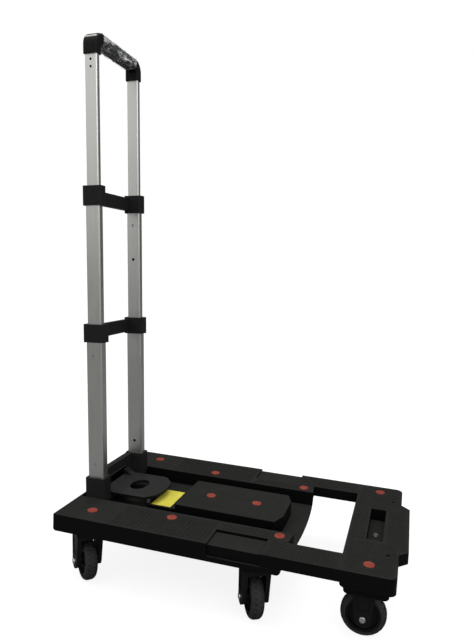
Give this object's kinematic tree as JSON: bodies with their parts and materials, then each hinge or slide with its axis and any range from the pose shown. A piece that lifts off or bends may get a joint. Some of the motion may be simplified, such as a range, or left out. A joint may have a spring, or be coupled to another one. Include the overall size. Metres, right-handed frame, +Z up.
{
  "type": "folding platform cart",
  "caption": "Folding platform cart with a telescopic fold-down handle, a slide-out deck extension, a release pedal and swivel casters.",
  "frame": {"origin": "on the floor, in the middle of the whole cart's footprint", "axes": "+Z up, +X forward towards the sliding deck extension, +Y to the left"},
  "size_m": [0.6583, 0.39, 1.0389],
  "materials": {
    "deck_plastic": "charcoal-black moulded plastic with a fine tread",
    "bridge_plastic": "black fine-grained moulded plastic",
    "pedal_plastic": "dark grey satin moulded plastic",
    "grip_plastic": "black moulded plastic",
    "bush_plastic": "grey acetal",
    "fork_plastic": "black glass-filled nylon",
    "hub_plastic": "black nylon",
    "clear_film": "crinkled clear protective film",
    "yellow_sticker": "plain yellow vinyl label, blank",
    "pad_rubber": "red anti-slip rubber",
    "tube_aluminium": "satin silver anodised",
    "zinc_steel": "zinc-plated steel",
    "black_screw": "blackened steel",
    "tyre": "black knobbly rubber"
  },
  "bodies": {
    "base": {"base_deck": "deck_plastic", "centre_cover": "deck_plastic", "cover_screws": "zinc_steel", "blank_sticker": "yellow_sticker", "base_pads": "pad_rubber", "pedal_pin": "zinc_steel", "pedal_springs": "zinc_steel", "hinge_pins": "zinc_steel", "base_caster_plates": "zinc_steel"},
    "extension": {"extension_frame": "deck_plastic", "extension_pads": "pad_rubber", "panel_screws": "black_screw", "slot_bolt": "zinc_steel", "front_caster_plates": "zinc_steel"},
    "pedal": {"release_pedal": "pedal_plastic"},
    "handle": {"handle_bracket": "bridge_plastic", "left_tube_1": "tube_aluminium", "right_tube_1": "tube_aluminium", "lower_bridge": "bridge_plastic"},
    "middle_stage": {"left_tube_2": "tube_aluminium", "right_tube_2": "tube_aluminium", "upper_bridge": "bridge_plastic", "stage_2_bushes": "bush_plastic"},
    "top_stage": {"left_tube_3": "tube_aluminium", "right_tube_3": "tube_aluminium", "grip": "grip_plastic", "grip_screws": "zinc_steel", "grip_film": "clear_film", "stage_3_bushes": "bush_plastic"},
    "left_lower_plunger": {"left_lower_plunger": "zinc_steel"},
    "left_upper_plunger": {"left_upper_plunger": "zinc_steel"},
    "right_lower_plunger": {"right_lower_plunger": "zinc_steel"},
    "right_upper_plunger": {"right_upper_plunger": "zinc_steel"},
    "rear_left_swivel": {"rear_left_fork": "fork_plastic", "rear_left_axle_bolt": "zinc_steel"},
    "rear_left_wheel": {"rear_left_hub": "hub_plastic", "rear_left_tyre": "tyre"},
    "rear_right_swivel": {"rear_right_fork": "fork_plastic", "rear_right_axle_bolt": "zinc_steel"},
    "rear_right_wheel": {"rear_right_hub": "hub_plastic", "rear_right_tyre": "tyre"},
    "mid_left_swivel": {"mid_left_fork": "fork_plastic", "mid_left_axle_bolt": "zinc_steel"},
    "mid_left_wheel": {"mid_left_hub": "hub_plastic", "mid_left_tyre": "tyre"},
    "mid_right_swivel": {"mid_right_fork": "fork_plastic", "mid_right_axle_bolt": "zinc_steel"},
    "mid_right_wheel": {"mid_right_hub": "hub_plastic", "mid_right_tyre": "tyre"},
    "front_left_swivel": {"front_left_fork": "fork_plastic", "front_left_axle_bolt": "zinc_steel"},
    "front_left_wheel": {"front_left_hub": "hub_plastic", "front_left_tyre": "tyre"},
    "front_right_swivel": {"front_right_fork": "fork_plastic", "front_right_axle_bolt": "zinc_steel"},
    "front_right_wheel": {"front_right_hub": "hub_plastic", "front_right_tyre": "tyre"}
  },
  "joints": [
    {"name": "extension_slide", "type": "slide", "parent": "base", "child": "extension", "axis": [-1, 0, 0], "range_m": [0, 0.088]},
    {"name": "handle_fold", "type": "hinge", "parent": "base", "child": "handle", "pos_m": [-0.27359, 0, 0.135], "axis": [0, 1, 0], "range_deg": [0, 89]},
    {"name": "middle_stage_slide", "type": "slide", "parent": "handle", "child": "middle_stage", "axis": [0.0436, 0, -0.999], "range_m": [0, 0.229]},
    {"name": "top_stage_slide", "type": "slide", "parent": "middle_stage", "child": "top_stage", "axis": [0.0436, 0, -0.999], "range_m": [0, 0.243]},
    {"name": "pedal_press", "type": "hinge", "parent": "base", "child": "pedal", "pos_m": [-0.27859, 0, 0.124], "axis": [0, 1, 0], "range_deg": [0, 5], "stiffness_Nm_per_rad": 6, "springref_deg": -2.86, "deforming": ["pedal_springs"]},
    {"name": "left_lower_plunger_press", "type": "slide", "parent": "middle_stage", "child": "left_lower_plunger", "axis": [0, -1, 0], "range_m": [0, 0.0025], "stiffness_N_per_m": 800, "springref_m": -0.002},
    {"name": "left_upper_plunger_press", "type": "slide", "parent": "top_stage", "child": "left_upper_plunger", "axis": [0, 1, 0], "range_m": [0, 0.0025], "stiffness_N_per_m": 800, "springref_m": -0.002},
    {"name": "right_lower_plunger_press", "type": "slide", "parent": "middle_stage", "child": "right_lower_plunger", "axis": [0, 1, 0], "range_m": [0, 0.0025], "stiffness_N_per_m": 800, "springref_m": -0.002},
    {"name": "right_upper_plunger_press", "type": "slide", "parent": "top_stage", "child": "right_upper_plunger", "axis": [0, -1, 0], "range_m": [0, 0.0025], "stiffness_N_per_m": 800, "springref_m": -0.002},
    {"name": "rear_left_swivel_turn", "type": "hinge", "parent": "base", "child": "rear_left_swivel", "pos_m": [-0.26939, 0.138, 0.09], "axis": [0, 0, 1], "continuous": true},
    {"name": "rear_left_wheel_spin", "type": "hinge", "parent": "rear_left_swivel", "child": "rear_left_wheel", "pos_m": [-0.25932, 0.12827, 0.039], "axis": [-0.6947, -0.7193, 0], "continuous": true},
    {"name": "rear_right_swivel_turn", "type": "hinge", "parent": "base", "child": "rear_right_swivel", "pos_m": [-0.26939, -0.138, 0.09], "axis": [0, 0, 1], "continuous": true},
    {"name": "rear_right_wheel_spin", "type": "hinge", "parent": "rear_right_swivel", "child": "rear_right_wheel", "pos_m": [-0.25932, -0.14773, 0.039], "axis": [-0.6947, -0.7193, 0], "continuous": true},
    {"name": "mid_left_swivel_turn", "type": "hinge", "parent": "base", "child": "mid_left_swivel", "pos_m": [0.06701, 0.138, 0.09], "axis": [0, 0, 1], "continuous": true},
    {"name": "mid_left_wheel_spin", "type": "hinge", "parent": "mid_left_swivel", "child": "mid_left_wheel", "pos_m": [0.0738, 0.12576, 0.039], "axis": [-0.8746, -0.4848, 0], "continuous": true},
    {"name": "mid_right_swivel_turn", "type": "hinge", "parent": "base", "child": "mid_right_swivel", "pos_m": [0.06701, -0.138, 0.09], "axis": [0, 0, 1], "continuous": true},
    {"name": "mid_right_wheel_spin", "type": "hinge", "parent": "mid_right_swivel", "child": "mid_right_wheel", "pos_m": [0.0738, -0.15024, 0.039], "axis": [-0.8746, -0.4848, 0], "continuous": true},
    {"name": "front_left_swivel_turn", "type": "hinge", "parent": "extension", "child": "front_left_swivel", "pos_m": [0.27651, 0.1295, 0.09], "axis": [0, 0, 1], "continuous": true},
    {"name": "front_left_wheel_spin", "type": "hinge", "parent": "front_left_swivel", "child": "front_left_wheel", "pos_m": [0.26251, 0.1295, 0.039], "axis": [0, 1, 0], "continuous": true},
    {"name": "front_right_swivel_turn", "type": "hinge", "parent": "extension", "child": "front_right_swivel", "pos_m": [0.27651, -0.1295, 0.09], "axis": [0, 0, 1], "continuous": true},
    {"name": "front_right_wheel_spin", "type": "hinge", "parent": "front_right_swivel", "child": "front_right_wheel", "pos_m": [0.26251, -0.1295, 0.039], "axis": [0, 1, 0], "continuous": true}
  ]
}
